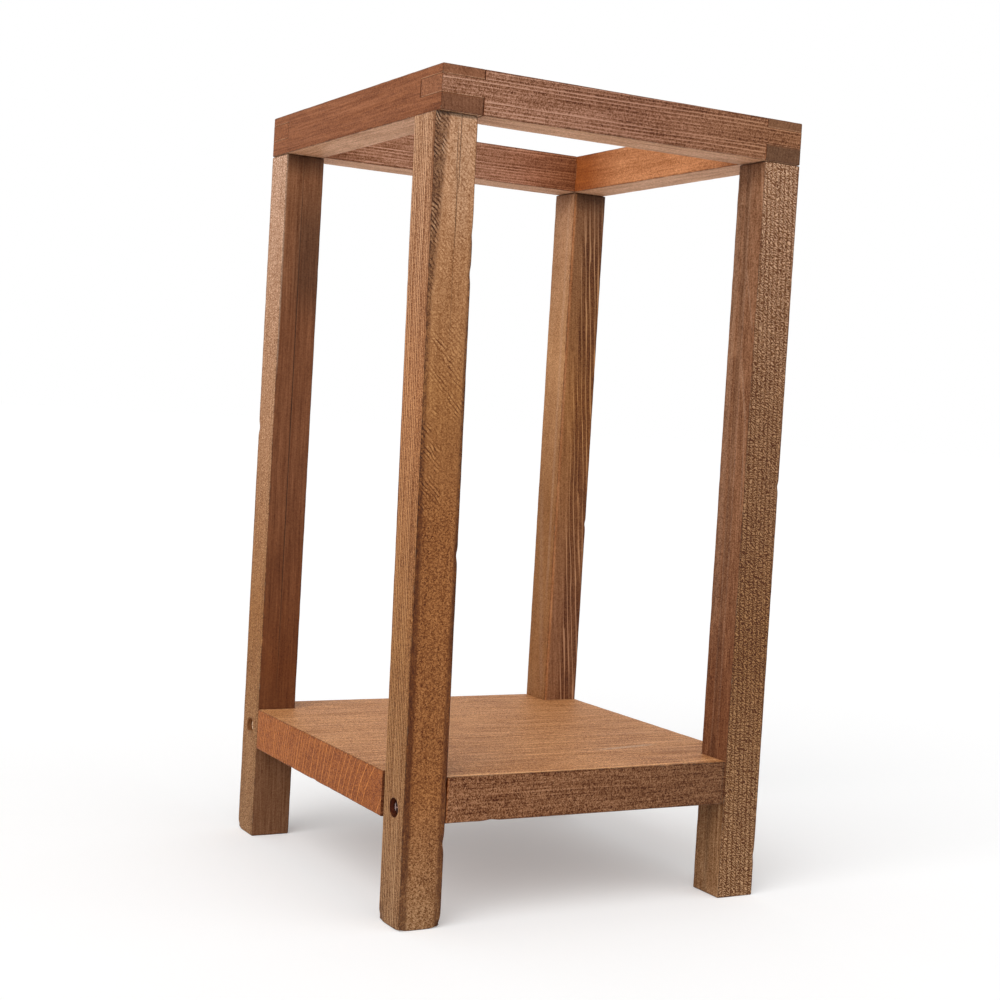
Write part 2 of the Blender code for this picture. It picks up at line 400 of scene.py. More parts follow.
@dataclass
class Timber:
    """A length of softwood: a squared block with joints cut in it, eased arrises and a worn surface.

    Args:
        node: The CAD node that it stands for, whose name it takes.
        run: The axis along its grain.
        faces: How each side was left.
        growth: How it lay in the log.
        gloss: Its roughness and its specular level.
        weave: How much wider than usual the streaks of its fibres are, along the log's X and Y.
        cuts: Boxes cut out of it.
        bores: Round holes in it.
        patches: Marks on its faces.
        grooves: Cracks and scratches.
        nicks: Dents and chips, with their middles from the low corner of its block.
        painted_inside_shade: Painted shade on the insides of its holes and joints, from 0 to 1, or painted
            light if it is negative.
        arris: Radius of its eased arrises.
        step: Largest distance between the points of its mesh.
        lean: Offset of its foot and of its top in X and Y, from where it would stand upright.
        block: Its squared block, if that isn't the CAD node's box.
        seed: Start of its random numbers.
    """

    node: str
    run: int
    faces: dict[Side, Face]
    growth: Growth
    gloss: Span = (0.6, 0.22)
    weave: Span = (1.0, 1.0)
    cuts: list[Block] = field(default_factory=list)
    bores: list[Bore] = field(default_factory=list)
    patches: list[Patch] = field(default_factory=list)
    grooves: list[Groove] = field(default_factory=list)
    nicks: list[Nick] = field(default_factory=list)
    painted_inside_shade: float = 0.5
    arris: float = 0.0009
    step: float = 0.0011
    lean: tuple[Span, Span] = ((0.0, 0.0), (0.0, 0.0))
    block: Block | None = None
    seed: int = 1

    def build(self, slot: str) -> None:
        """Build the piece in place of the CAD node.

        Args:
            slot: Not used.
        """
        self.block = self.block or Block(*(tuple(corner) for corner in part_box(self.node)))
        self.low, self.high = np.array(self.block.low), np.array(self.block.high)
        cuts = self.cuts + [block for bore in self.bores for block in bore.blocks()]
        lines = [self.lines(axis, cuts) for axis in range(3)]
        middles = [(line[1:] + line[:-1]) / 2 for line in lines]
        solid = np.ones([len(middle) for middle in middles], bool)
        for cut in cuts:
            solid &= ~cut.holds(middles)
        index, quads, looks = skin(solid)
        self.flat = np.stack([lines[axis][index[:, axis]] for axis in range(3)], axis=1)
        self.shares = self.sides(looks / np.linalg.norm(looks, axis=1, keepdims=True))

        points = self.flat.copy()
        for bore in self.bores:
            bore.bend(points)
        points, outward = self.eased(points)
        points -= outward * self.depth()[:, None]
        rise = (points[:, 2] - self.low[2]) / (self.high[2] - self.low[2])
        foot, top = np.array(self.lean)
        points[:, :2] += foot + rise[:, None] * (top - foot)

        piece = mesh_object(self.node + "_timber", points, quads)
        for name, values in self.marks(inside=~outward.any(axis=1)).items():
            attribute = piece.data.attributes.new(name, "FLOAT_COLOR", "POINT")
            attribute.data.foreach_set("color", values.astype(np.float32).ravel())
        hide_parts(self.node)
        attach(piece, "root")
        piece.data.materials.append(StainedWood(self).finished())
        log.info("%s: %d faces", self.node, len(quads))

    def across(self, side: Side) -> int:
        """Return the axis across a side, or the upright one on the piece's ends."""
        if side.value[0] == self.run:
            return 2 if self.run != 2 else 0
        return 3 - self.run - side.value[0]

    def lines(self, axis: int, cuts: list[Block]) -> np.ndarray:
        """Return the lattice's lines along an axis.

        The block's two ends have lines within the arris, at the tangents of 15, 30 and 45 degrees, which the
        easing turns into even steps round the arris. A groove has a line in its middle and at each edge.

        Args:
            axis: The axis.
            cuts: All the boxes that are cut out.

        Returns:
            The places of the lines.
        """
        low, high = self.low[axis], self.high[axis]
        marks = [place for cut in cuts for place in (cut.low[axis], cut.high[axis])]
        for degrees in (0, 15, 30, 45):
            inset = self.arris * (1 - math.tan(math.radians(degrees)))
            marks += [low + inset, high - inset]
        for groove in self.grooves:
            if self.across(groove.side) == axis:
                edges = (groove.across + part * groove.width for part in (-0.5, 0.0, 0.5))
                marks += [low + edge / MILLIMETRES for edge in edges]
        return ruled([place for place in marks if low <= place <= high], self.step)

    def eased(self, points: np.ndarray) -> tuple[np.ndarray, np.ndarray]:
        """Round the block's arrises and corners.

        The part of a point's place that lies outside the block less one arris all round is an offset, at most
        one arris long in each direction. It is shortened to its largest component, which turns squares round
        each arris into circles.

        Args:
            points: The lattice's points.

        Returns:
            The points with rounded arrises, and their outward directions, which are zero inside the block.
        """
        core = np.clip(points, self.low + self.arris, self.high - self.arris)
        offset = points - core
        length = np.linalg.norm(offset, axis=1, keepdims=True)
        largest = np.abs(offset).max(axis=1, keepdims=True)
        outward = offset / np.maximum(length, 1e-9)
        return core + outward * largest, outward * (largest > 0.999 * self.arris)

    def edge_distance(self) -> np.ndarray:
        """Return each point's distance to the nearest arris: the middle one of its distances to the sides."""
        return np.sort(np.minimum(self.flat - self.low, self.high - self.flat), axis=1)[:, 1]

    def sides(self, looks: np.ndarray) -> dict[Side, np.ndarray]:
        """Return how much each point belongs to each side: the fourth power of how far it looks that way."""
        parts = {side: np.clip(looks[:, side.value[0]] * side.value[1], 0, 1) ** 4 for side in Side}
        total = sum(parts.values())
        return {side: part / total for side, part in parts.items()}

    def uneven(self, shift: int, across: float, along: float) -> np.ndarray:
        """Return a random field at the points, with one spacing across the grain and another along it."""
        spacing = tuple(along if axis == self.run else across for axis in range(3))
        return random_field(self.seed + shift, self.flat, spacing)

    def depth(self) -> np.ndarray:
        """Return how far each point of the surface lies inside the squared block.

        It is the sum of shallow hollows that are longer along the grain, of wear along the arrises, which
        fades with the square of the distance and comes and goes along them, of grooves and of nicks.
        """
        relief = sum(share * self.faces[side].relief for side, share in self.shares.items())
        depth = relief * (0.65 * self.uneven(0, 0.0045, 0.022) + 0.35 * self.uneven(100, 0.0022, 0.006))
        wear_width, wear_depth = 0.0024, 0.00035
        closeness = np.clip(1 - self.edge_distance() / wear_width, 0, 1)
        depth += wear_depth * self.uneven(200, 0.009, 0.009) ** 2 * closeness**2
        for groove in self.grooves:
            depth += groove.depth / MILLIMETRES * self.groove_strength(groove)
        for nick in self.nicks:
            middle = self.low + np.array(nick.middle) / MILLIMETRES
            distance = np.linalg.norm(self.flat - middle, axis=1) * MILLIMETRES / nick.size
            depth += nick.depth / MILLIMETRES * np.exp(-(distance**2))
        return depth

    def marks(self, inside: np.ndarray) -> dict[str, np.ndarray]:
        """Return what the material reads.

        Args:
            inside: Which points lie within the block, in holes and joints.

        Returns:
            Three attributes of four numbers each: "tone" with the colour, painted light and shade included,
                and the
            pale lines, "cut" with saw marks, fuzz, rings and streaks, and "wear" with the distance to the
            arris in millimetres, dark stain together with the painted shade inside holes and joints, rubbed
            places and flecks.
        """
        low, high = self.low[self.run], self.high[self.run]
        along = np.clip((self.flat[:, self.run] - low) / (high - low), 0, 1)
        tone, cut, wear = np.zeros((3, len(along), 4))
        for side, share in self.shares.items():
            face = self.faces[side]
            tone[:, :3] += share[:, None] * face.colour(along)
            tone[:, 3] += share * face.lines
            cut += share[:, None] * np.array([face.saw, face.fuzz, face.rings, face.streaks])
            wear[:, 3] += share * face.flecks
        # Painted shade inside holes and joints, or painted light where the strength is negative.
        tone[:, :3] *= 1 - self.painted_inside_shade * inside[:, None] * np.array((0.5, 0.8, 0.95))
        wear[:, 0] = self.edge_distance() * MILLIMETRES
        wear[:, 1] = self.painted_inside_shade * inside
        for patch in self.patches:
            strength = self.patch_strength(patch)
            if patch.tone:
                tone[:, :3] += strength[:, None] * (patch.tone.linear() - tone[:, :3])
            tone[:, :3] *= 1 - patch.shade * strength[:, None]
            for values, column, amount in (
                (wear, 1, patch.dark),
                (wear, 2, patch.pale),
                (cut, 0, patch.saw),
                (cut, 1, patch.fuzz),
                (tone, 3, patch.lines),
            ):
                values[:, column] = np.maximum(values[:, column], strength * amount)
        for groove in self.grooves:
            tone[:, :3] *= 1 - groove.dark * self.groove_strength(groove)[:, None]
        return {"tone": tone, "cut": cut, "wear": wear}

    def measured(self, side: Side) -> list[np.ndarray]:
        """Return the points' places along the piece and across a side, in millimetres from its low corner."""
        return [(self.flat - self.low)[:, axis] * MILLIMETRES for axis in (self.run, self.across(side))]

    def patch_strength(self, patch: Patch) -> np.ndarray:
        """Return how strong a patch is at each point.

        Its edges across the face run straight from their first place to their second. The strength is the
        product of four ramps, one at each edge, that are half way up on the edge itself.

        Args:
            patch: The mark.

        Returns:
            One strength for each point, from 0 to 1.
        """
        along, across = self.measured(patch.side)
        start, end = patch.along
        near, far = (np.interp(along, patch.along, edge) for edge in (patch.near, patch.far))
        sides = np.clip(0.5 + np.stack([across - near, far - across]) / patch.soft, 0, 1)
        ends = np.clip(0.5 + np.stack([along - start, end - along]) / patch.taper, 0, 1)
        return sides.prod(axis=0) * ends.prod(axis=0) * self.shares[patch.side]

    def groove_strength(self, groove: Groove) -> np.ndarray:
        """Return how much of a groove's full depth each point has.

        Across, it falls evenly from the middle to the edges. Along, it is the root of a parabola that is zero
        at both ends.

        Args:
            groove: The groove.

        Returns:
            One share for each point, from 0 to 1.
        """
        along, across = self.measured(groove.side)
        share = np.interp(along, groove.along, (0, 1))
        profile = np.clip(1 - np.abs(across - groove.across) / (0.5 * groove.width), 0, 1)
        return profile * np.sqrt(4 * share * (1 - share)) * self.shares[groove.side]


@dataclass(frozen=True)
class Signal:
    """A value in a node tree. An ordinary sum on it adds the node that works the sum out."""

    socket: bpy.types.NodeSocket

    def worked(self, operation: str, *others: object, **settings: bool) -> Signal:
        """Return the result of an operation on this number and others."""
        return Graph(self.socket.id_data).maths(operation, self, *others, **settings)

    def __add__(self, other: object) -> Signal:
        """Return the sum."""
        return self.worked("ADD", other)

    def __sub__(self, other: object) -> Signal:
        """Return the difference."""
        return self.worked("SUBTRACT", other)

    def __rsub__(self, other: float) -> Signal:
        """Return a plain number less this one."""
        return Graph(self.socket.id_data).maths("SUBTRACT", other, self)

    def __mul__(self, other: object) -> Signal:
        """Return the product."""
        return self.worked("MULTIPLY", other)

    def __pow__(self, other: float) -> Signal:
        """Return the power."""
        return self.worked("POWER", other)

    def clipped(self) -> Signal:
        """Return the number held between 0 and 1."""
        return self.worked("ADD", 0.0, use_clamp=True)

    def spread(self, middle: float, gain: float) -> Signal:
        """Return the distance from a middle, times a gain."""
        return (self - middle) * gain


@dataclass
class Graph:
    """A node tree while it is put together."""

    tree: bpy.types.NodeTree

    def node(self, kind: str, inputs: dict | None = None, **settings: object) -> bpy.types.Node:
        """Add a node.

        Args:
            kind: Its type, without the leading ShaderNode.
            inputs: Values, signals or outputs for its inputs, by name or number.
            **settings: Its other settings.

        Returns:
            The node.
        """
        node = self.tree.nodes.new("ShaderNode" + kind)
        for name, value in settings.items():
            setattr(node, name, value)
        for name, value in (inputs or {}).items():
            self.feed(node.inputs[name], value)
        return node

    def feed(self, target: bpy.types.NodeSocket, value: object) -> None:
        """Link a signal or an output to an input, or set the input's value."""
        if isinstance(value, Signal):
            value = value.socket
        if isinstance(value, bpy.types.NodeSocket):
            self.tree.links.new(value, target)
        else:
            target.default_value = value

    def maths(self, operation: str, *values: object, **settings: bool) -> Signal:
        """Return the result of an operation on numbers."""
        return Signal(self.node("Math", dict(enumerate(values)), operation=operation, **settings).outputs[0])

    def vector(self, operation: str, *values: object) -> Signal:
        """Return the result of an operation on vectors."""
        node = self.node("VectorMath", dict(enumerate(values)), operation=operation)
        return Signal(node.outputs["Value" if operation in ("LENGTH", "DOT_PRODUCT") else "Vector"])

    def noise(self, place: Signal, size: Point, start: float, detail: float = 2.0) -> Signal:
        """Return soft noise around one half.

        Args:
            place: Where it is read.
            size: Length of its blobs along the three axes.
            start: A shift that makes it differ from other noise.
            detail: How many finer layers it has.

        Returns:
            The noise.
        """
        scale = tuple(1 / length for length in size)
        scaled = self.vector("MULTIPLY_ADD", place, scale, (start, start * 1.7, start * 2.3))
        noise = self.node("TexNoise", {"Vector": scaled, "Scale": 1.0, "Detail": detail})
        return Signal(noise.outputs["Fac"])

    def ramp(self, value: Signal, stops: tuple[tuple[float, Point], ...]) -> Signal:
        """Return the colour that a value has on a scale of colours, whose ends are given first."""
        node = self.node("ValToRGB", {"Fac": value})
        elements = node.color_ramp.elements
        for number, (place, colour) in enumerate(stops):
            element = elements[number] if number < 2 else elements.new(place)
            element.position = place
            element.color = (*colour, 1.0)
        return Signal(node.outputs["Color"])

    def parts(self, colour: object) -> list[Signal]:
        """Return the red, green and blue of a colour."""
        return [Signal(part) for part in self.node("SeparateColor", {"Color": colour}).outputs]

    def mixed(self, blend: str, colour: object, other: Point, share: Signal) -> Signal:
        """Return a colour blended with a plain one, as far as the share says."""
        node = self.node("Mix", data_type="RGBA", blend_type=blend)
        values = {("Factor", "VALUE"): share, ("A", "RGBA"): colour, ("B", "RGBA"): (*other, 1.0)}
        for socket in node.inputs:
            if (socket.name, socket.type) in values:
                self.feed(socket, values.pop((socket.name, socket.type)))
        return Signal(next(socket for socket in node.outputs if socket.type == "RGBA"))


class Recipe(Graph):
    """A material while it is put together."""

    def __init__(self, name: str) -> None:
        """Start a material with a Principled shader."""
        self.material = bpy.data.materials.new(name)
        self.material.use_nodes = True
        super().__init__(self.material.node_tree)
        self.shader = self.tree.nodes["Principled BSDF"]

    def place(self) -> Signal:
        """Return the place in the object's own space, in millimetres."""
        return self.vector("MULTIPLY", self.node("TexCoord").outputs["Object"], (MILLIMETRES,) * 3)

    def finish(self, height: Signal, inputs: dict[str, object]) -> bpy.types.Material:
        """Connect the shader.

        Args:
            height: The height of the fine relief, in millimetres.
            inputs: The shader's other inputs, by name.

        Returns:
            The finished material.
        """
        bump = self.node("Bump", {"Height": height, "Distance": 1 / MILLIMETRES, "Strength": 1.0})
        for name, value in {**inputs, "Normal": bump.outputs["Normal"]}.items():
            self.feed(self.shader.inputs[name], value)
        return self.material


class StainedWood(Recipe):
    """Stained softwood, which follows the growth rings through the whole piece.

    The sizes are distances between the marks of the saw, between the flecks of a rope and between the grains
    of a fuzzy face, and the width of the dark rims and the bare spots along an arris. The saw's marks slope
    below the level. Rims and stains tint the wood, and the painted shade inside holes and joints takes the
    stains' colour; bare and rubbed places have colours of their own. The shades stand for the sum of the
    patterns, at half their strength and with the two ends first.
    """

    saw_pitch: float = 2.4
    rope_pitch: float = 2.1
    grit: float = 0.75
    rim_width: float = 1.1
    saw_slope: float = math.radians(46.0)
    rim: Point = (0.36, 0.31, 0.30)
    bare: Point = (0.50, 0.31, 0.18)
    soil_and_shade: Point = (0.32, 0.23, 0.18)
    rubbed: Point = (0.60, 0.43, 0.30)
    shades: tuple[tuple[float, Point], ...] = (
        (0.0, (0.14, 0.075, 0.035)),
        (1.0, (0.92, 1.12, 1.38)),
        (0.25, (0.31, 0.255, 0.19)),
        (0.5, (0.5, 0.5, 0.5)),
        (0.75, (0.71, 0.79, 0.90)),
    )

    def __init__(self, timber: Timber) -> None:
        """Start the wood of a piece."""
        super().__init__(timber.node + "_wood")
        self.timber = timber
        self.growth = timber.growth
        self.straight = self.in_log()

    def in_log(self) -> Signal:
        """Return the place in the log as a vector, with the log's length along Z."""
        middle = (Vector(self.timber.block.low) + Vector(self.timber.block.high)) / 2
        turn = {
            0: Matrix.Rotation(-math.pi / 2, 3, "Y"),
            1: Matrix.Rotation(math.pi / 2, 3, "X"),
            2: Matrix.Identity(3),
        }[self.timber.run]
        tilt_x, tilt_y = (math.radians(angle) for angle in self.growth.tilt)
        tilted = Matrix.Rotation(tilt_x, 3, "X") @ Matrix.Rotation(tilt_y, 3, "Y") @ turn
        inputs = {
            "Vector": self.node("TexCoord").outputs["Object"],
            "Location": -(tilted @ middle) * MILLIMETRES - Vector((*self.growth.pith, 0.0)),
            "Rotation": tilted.to_euler(),
            "Scale": (MILLIMETRES,) * 3,
        }
        return Signal(self.node("Mapping", inputs).outputs["Vector"])

    def pattern(self, place: Signal, size: Point, start: float, detail: float = 2.0) -> Signal:
        """Return soft noise that differs from piece to piece."""
        return self.noise(place, size, self.growth.start + start, detail)

    def swung(self) -> Signal:
        """Return the place in the log, swung a little from side to side along the log."""
        wide = self.vector("MULTIPLY_ADD", self.straight, (1 / 45, 1 / 45, 1 / 130), (self.growth.start,) * 3)
        swing = self.node("TexNoise", {"Vector": wide, "Scale": 1.0, "Detail": 1.0})
        centred = self.vector("SUBTRACT", swing.outputs["Color"], (0.5, 0.5, 0.5))
        width = 2 * self.growth.wander
        return self.vector("MULTIPLY_ADD", centred, (width, width, 0.0), self.straight)

    def rings(self, bent: Signal) -> tuple[Signal, Signal, Signal]:
        """Return the patterns of the growth rings.

        A ring's number is the distance to the pith over the pitch, and its part after the point is the
        season.

        Args:
            bent: The place in the log, swung a little from side to side.

        Returns:
            The dark late wood, the pale early line beside it, and the twisted rope of flecks between them.
        """
        growth = self.growth
        radius = self.vector("LENGTH", self.vector("MULTIPLY", bent, (1.0, 1.0, 0.0)))
        drift = self.pattern(bent, (4.0, 4.0, 90.0), 3.1).spread(0.5, growth.drift)
        phase = radius * (radius * growth.crowding + 1.0) * (1 / growth.pitch) + drift
        season, year = phase.worked("FRACT"), phase.worked("FLOOR")
        chance = self.node("TexWhiteNoise", {"W": year}, noise_dimensions="1D")
        vigour = Signal(chance.outputs["Value"])
        breadth = self.maths("DIVIDE", growth.pitch, radius * (2 * growth.crowding) + 1.0)
        sway = self.pattern(bent, (3.0, 3.0, 4.5), 51.0).spread(0.5, 4.0)
        along = Signal(self.node("SeparateXYZ", {0: bent}).outputs["Z"]) * (1 / self.rope_pitch)
        wave = ((along + (year * 0.37 + (phase + sway))) * math.tau).worked("SINE")
        late = season**2.4 * (vigour * 0.8 + 0.45)
        early = (1.0 - season * breadth).clipped() * (vigour * 1.5 + 0.15)
        return late, early, (phase.worked("PINGPONG", 0.5) * 2.0) ** 0.6 * (wave * 0.5 + 0.5) ** 2.2

    def kerfs(self) -> Signal:
        """Return the marks of the saw: a sharpened wave down the slope, which comes and goes."""
        across = (math.sin(self.saw_slope), math.sin(self.saw_slope), math.cos(self.saw_slope))
        jitter = self.pattern(self.straight, (8.0, 8.0, 12.0), 53.0).spread(0.5, 2.0)
        turns = self.vector("DOT_PRODUCT", self.straight, across) * (1 / self.saw_pitch) + jitter
        sharp = ((turns * math.tau).worked("SINE") * 0.5 + 0.5) ** 3.0
        return sharp.spread(0.31, 8.0) * (self.pattern(self.straight, (7.0, 7.0, 10.0), 59.0) - 0.4).clipped()

    def finished(self) -> bpy.types.Material:
        """Return the piece's material.

        The patterns add up to a level around one half, a ramp turns the level into light and shade, and these
        multiply the tone of the face.
        """
        tone, cut, wear = (self.node("Attribute", attribute_name=kind) for kind in ("tone", "cut", "wear"))
        lines, streaks, flecks = (Signal(node.outputs["Alpha"]) for node in (tone, cut, wear))
        saw, fuzz, rings = self.parts(cut.outputs["Color"])
        bent = self.swung()
        late, early, twisted = self.rings(bent)

        wide_x, wide_y = self.timber.weave
        fibre = self.pattern(bent, (1.7 * wide_x, 1.7 * wide_y, 90.0), 11.0)
        thread = self.pattern(bent, (1.2 * wide_x, 1.2 * wide_y, 26.0), 23.0, 1.0)
        pore = self.pattern(bent, (0.7, 0.7, 4.0), 31.0, 1.0)
        tuft = self.pattern(self.straight, (1.8, 1.8, 2.8), 41.0)
        stain = self.pattern(self.straight, (12.0, 12.0, 50.0), 61.0)
        cells = self.node("TexVoronoi", {"Vector": self.straight, "Scale": 1 / self.grit})
        grit = self.parts(cells.outputs["Color"])[0]

        kerf = self.kerfs() * (grit * 1.2 + 0.3) * saw
        grain = (fibre.spread(0.5, 0.75) + thread.spread(0.5, 0.8)) * streaks
        tufts = tuft.spread(0.5, 0.25) * fuzz
        grits = grit.spread(0.5, 1.05) * fuzz
        pores = (pore - 0.62).clipped() * -1.6
        rope = (twisted * (grit + 0.5) - 0.22) * flecks
        thin = (early * (thread * 0.8 + 0.4)).spread(0.12, 0.9) * lines
        years = late.spread(0.26, -0.6) * rings

        level = stain.spread(0.5, 0.3) + years + thin + rope + grain + tufts + grits + pores - kerf * 0.5
        shade = self.ramp((level + 0.5).clipped(), self.shades)
        halved = self.vector("MULTIPLY", tone.outputs["Color"], shade)
        colour = self.vector("MULTIPLY", halved, (2.0, 2.0, 2.0))
        colour = self.worn(colour, self.parts(wear.outputs["Color"]), tuft + grit, kerf)

        height = late * rings * 0.05
        for part, gain in ((grain, 0.06), (pores, 0.12), (tufts, 0.4), (rope, 0.1), (kerf, -0.12)):
            height = part * gain + height
        roughness, specular = self.timber.gloss
        rough = (fuzz * 0.25 + roughness + fibre.spread(0.5, -0.25)).clipped()
        return self.finish(height, {"Base Color": colour, "Roughness": rough, "Specular IOR Level": specular})

    def worn(self, colour: Signal, marks: list[Signal], speckles: Signal, kerf: Signal) -> Signal:
        """Return the colour with dark rims, bare spots on the arrises, stains, painted shade in holes and
        joints, and rubbed places.

        Args:
            colour: The clean colour.
            marks: Distance to the arris, dark stain together with painted shade in holes and joints, and
                rubbed places.
            speckles: The sum of two speckles.
            kerf: The marks of the saw.

        Returns:
            The worn colour.
        """
        edge, dark, pale = marks
        fray = self.pattern(self.straight, (1.6, 1.6, 6.0), 71.0)
        rim = (1.0 - (edge - fray.spread(0.5, 2.8)) * (1 / self.rim_width)).clipped()
        colour = self.mixed("MULTIPLY", colour, self.rim, rim * 0.8)
        bare = (1.0 - edge * (1 / self.rim_width)).clipped() * fray.spread(0.57, 7.0)
        colour = self.mixed("MIX", colour, self.bare, bare.clipped() * 0.4)
        speck = speckles.spread(1.0, 2.4)
        blotch = kerf * 1.1 + (speck + fray.spread(0.34, 3.0))
        # Dark stain, and the painted shade inside holes and joints, darken the wood in one colour.
        colour = self.mixed("MULTIPLY", colour, self.soil_and_shade, (dark * blotch).clipped())
        return self.mixed("MIX", colour, self.rubbed, (pale * (speck * 0.3 + 0.7)).clipped())


CORNERS = {
    "front_left": (-1, -1),
    "front_right": (1, -1),
    "back_left": (-1, 1),
    "back_right": (1, 1),
}


@dataclass(frozen=True)
class Joinery:
    """Sizes of the joints, the same as those of the solids, and the holes that follow from them."""

    gap: float = 0.0003
    upper_cheek: float = 0.007
    tenon: float = 0.012
    dowel_radius: float = 0.004
    dowel_in_leg: float = 0.025
    screw_radius: float = 0.0024
    sink: float = 0.0025
    head: float = 0.003
    counterbore_radius: float = 0.00675
    overcut: float = 0.004

    def dowel_bores(self, corner: str, leg_top: float) -> list[Bore]:
        """Return the two dowel holes under a corner of the frame, taken from where the dowels are.

        Args:
            corner: The corner.
            leg_top: Height of the leg's top.

        Returns:
            The two holes.
        """
        holes = []
        for place in ("inner", "outer"):
            low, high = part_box(f"dowel_{corner}_{place}")
            bottom = leg_top - self.dowel_in_leg
            steps = ((self.dowel_radius + self.gap, bottom, high.z + (low.z - bottom)),)
            holes.append(Bore(2, tuple((low + high) / 2), steps, reach=0.0059))
        return holes

    def screw_bore(self, corner: str) -> Bore:
        """Return the hole of a shelf screw: its counterbore from outside, and the hole for its shank.

        Args:
            corner: The corner of the stand.

        Returns:
            The hole.
        """
        low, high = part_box("shelf_screw_" + corner)
        side = CORNERS[corner][0]
        head_top, point = (low.x, high.x) if side < 0 else (high.x, low.x)
        seat = head_top - side * (self.head + self.gap)
        outside = head_top + side * (self.sink + self.overcut)
        wide = (self.counterbore_radius, min(seat, outside), max(seat, outside))
        slim = (self.screw_radius + self.gap, min(seat, point), max(seat, point))
        return Bore(0, tuple((low + high) / 2), (wide, slim), reach=0.0115)


def corners_of(node: str) -> np.ndarray:
    """Return the vertices of a piece of the CAD model, one in each row."""
    return np.array([vertex.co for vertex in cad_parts[node].data.vertices])


